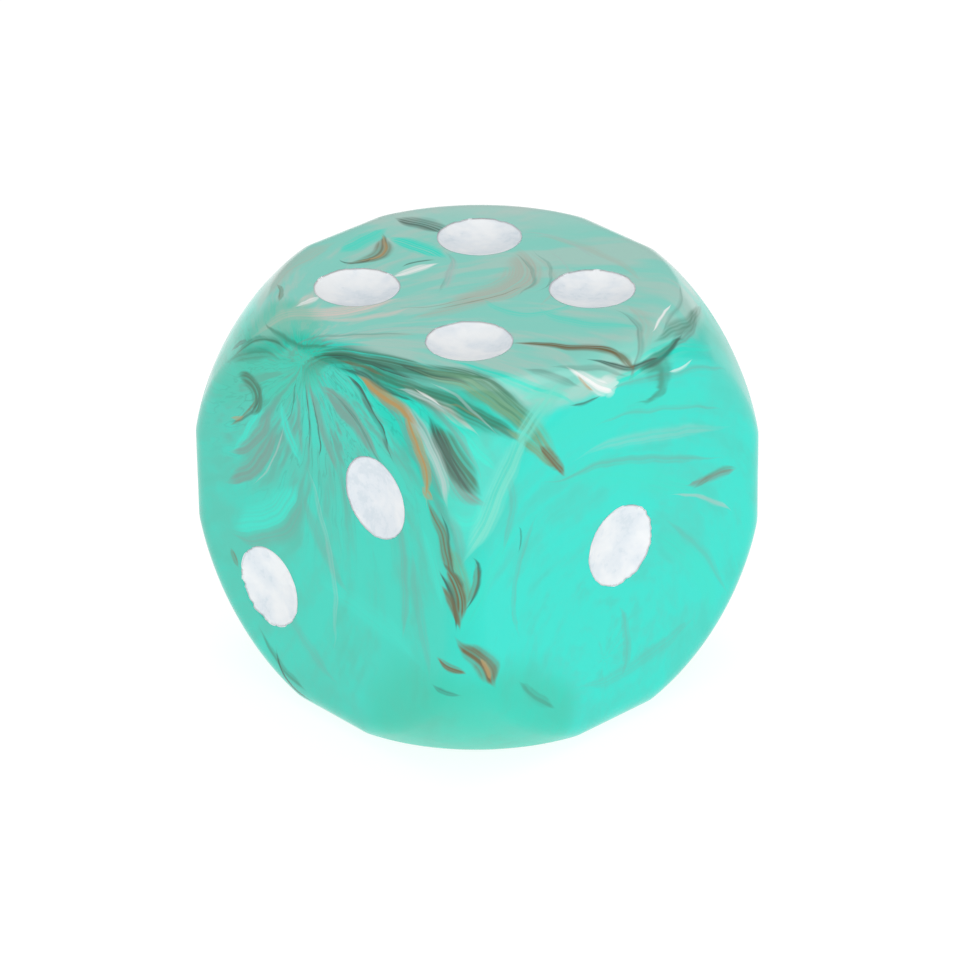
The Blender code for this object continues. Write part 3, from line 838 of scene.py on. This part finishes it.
ends = either(toward.out("Z").math("GREATER_THAN", 0), poured("three"), poured("four"))
front = either(toward.out("Y").math("GREATER_THAN", 0), poured("two"), poured("five"))
flanks = either(toward.math("GREATER_THAN", 0), poured("six"), poured("one"))
round_about = either(extent.math("GREATER_THAN", extent.out("Y")), front, flanks)
upright = extent.out("Z").math("GREATER_THAN", extent.math("MAXIMUM", extent.out("Y")))
whole = either(upright, round_about, ends)
marble.links.new(whole.socket, marble.nodes["Material Output"].inputs["Surface"])


# ---------------------------------------------------------------- the pips' paint
# Thick white enamel is dropped into each dimple. As it dries it draws itself up over the lip and hollows in
# the middle, so each pip is a shallow dish with a thin rim, and a hand-wiped edge, more ragged on some.

enamel = bpy.data.materials.new("white_enamel")
paint_values = {name: BODY_SIZES[name] for name in ("Side", "Pip Diameter", "Dimple Depth", "Lip Radius")} | {
    "Clearance": 0.000004,
    "Paint Dish": 0.00030,
    "Raggedness": 0.25,
    "Seed": 0.0,
    "Place": Vector(),
    "Turn": Vector(),
    "Material": enamel,
}
paint_tree, fill = new_tree("GeometryNodeTree", "paint_fill", paint_values, "Geometry")


SETTLED_LEVEL = 0.87  # how high the paint settles in its middle, as a share of the lip's height


def paint_profile(along, angle):
    """Up the dimple's wall, over the lip to the wiped edge, and back to the middle over the hollow face."""
    gap, lip = fill.out("Clearance"), fill.out("Lip Radius")
    wall, climb, face = (quarter(along, number) for number in range(3))
    round_rim = {0: angle.math("COSINE") * 2.2, 1: angle.math("SINE") * 2.2, 2: fill.out("Seed")}
    round_rim = add(paint_tree, "ShaderNodeCombineXYZ", {}, round_rim)
    wiped = {"Vector": round_rim, "Scale": 1.6, "Detail": 5, "Roughness": 0.62}
    wiped = add(paint_tree, "ShaderNodeTexNoise", {}, wiped) - 0.5
    reach = (wiped * fill.out("Raggedness") * 9 + 1.05).math("MAXIMUM", 0.15).math("MINIMUM", 1.5)
    lifted = climb * reach / (math.pi / 2)
    inwards = 1 - face / (math.pi / 2)
    over_lip = fill.out("Pip Diameter") / 2 + lip - (lip + gap) * lifted.math("COSINE")
    level = (lifted.math("SINE") - SETTLED_LEVEL) * inwards * inwards + SETTLED_LEVEL
    height = (lip + gap) * level - lip - (fill.out("Dimple Depth") - lip - gap) * wall.math("COSINE")
    hollow = (1 - inwards * inwards) * fill.out("Paint Dish")
    return over_lip * wall.math("SINE") * inwards, height - hollow


drop = turned_grid(paint_tree, 46, 97, paint_profile)
in_plane = add(paint_tree, "GeometryNodeTransform", {}, {"Geometry": drop, "Translation": fill.out("Place")})
on_face = add(paint_tree, "GeometryNodeTransform", {}, {"Geometry": in_plane, "Rotation": fill.out("Turn")})
drop = add(paint_tree, "GeometryNodeSetShadeSmooth", {"domain": "FACE"}, {"Geometry": on_face})
end_tree(paint_tree, fill, drop)

# Pips whose edge was wiped less neatly than the rest
RAGGED_PIPS = {
    "pip_1_centre": 0.5,
    "pip_2_lower_left": 0.75,
    "pip_5_upper_left": 0.6,
    "pip_6_lower_right": 0.5,
}
seed = 0.0
for face, places in PIPS.items():
    across = BODY_SIZES["Six Column"] if face == "six" else BODY_SIZES["Pip Offset"]
    up = BODY_SIZES["Six Pitch"] if face == "six" else BODY_SIZES["Pip Offset"]
    for place_name, (x, y) in places.items():
        pip_name = f"pip_{FACE_NUMBERS[face]}_{place_name}"
        seed += 3.7
        pip = grown("paint_" + pip_name, paint_tree, paint_values | {
            "Raggedness": RAGGED_PIPS.get(pip_name, paint_values["Raggedness"]),
            "Seed": seed,
            "Place": Vector((across * x, up * y, side / 2)),
            "Turn": Vector(face_rotation(face).to_euler()),
        })
        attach(pip, "root")
        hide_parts(pip_name)

enamel.use_nodes = True
paint = enamel.node_tree
on_paint = add(paint, "ShaderNodeTexCoord").out("Object") * (1 / side)
clouds = noise(on_paint, 9, 3, 0.6, 21.0)
specks = noise(on_paint, 60, 2, 0.6, 22.0)
paint_colour = blend(tint("DFE6EC"), tint("EDF0F2"), ease(clouds, 0.40, 0.62))
paint_colour = blend(paint_colour, tint("CDD9E1"), ease(specks * 0.4 + clouds * 0.6, 0.47, 0.36) * 0.6)
brushed = noise(on_paint * (1, 1, 3), 22, 2, 0.5, 23.0) + specks * 0.15
satin = {"Base Color": paint_colour, "Roughness": ease(specks, 0.3, 0.7, 0.3, 0.42)}
satin["Normal"] = add(paint, "ShaderNodeBump", {}, {"Strength": 0.4, "Distance": 0.00006, "Height": brushed})
paint.nodes.remove(paint.nodes["Principled BSDF"])
satin = add(paint, "ShaderNodeBsdfPrincipled", {}, satin)
paint.links.new(satin.socket, paint.nodes["Material Output"].inputs["Surface"])
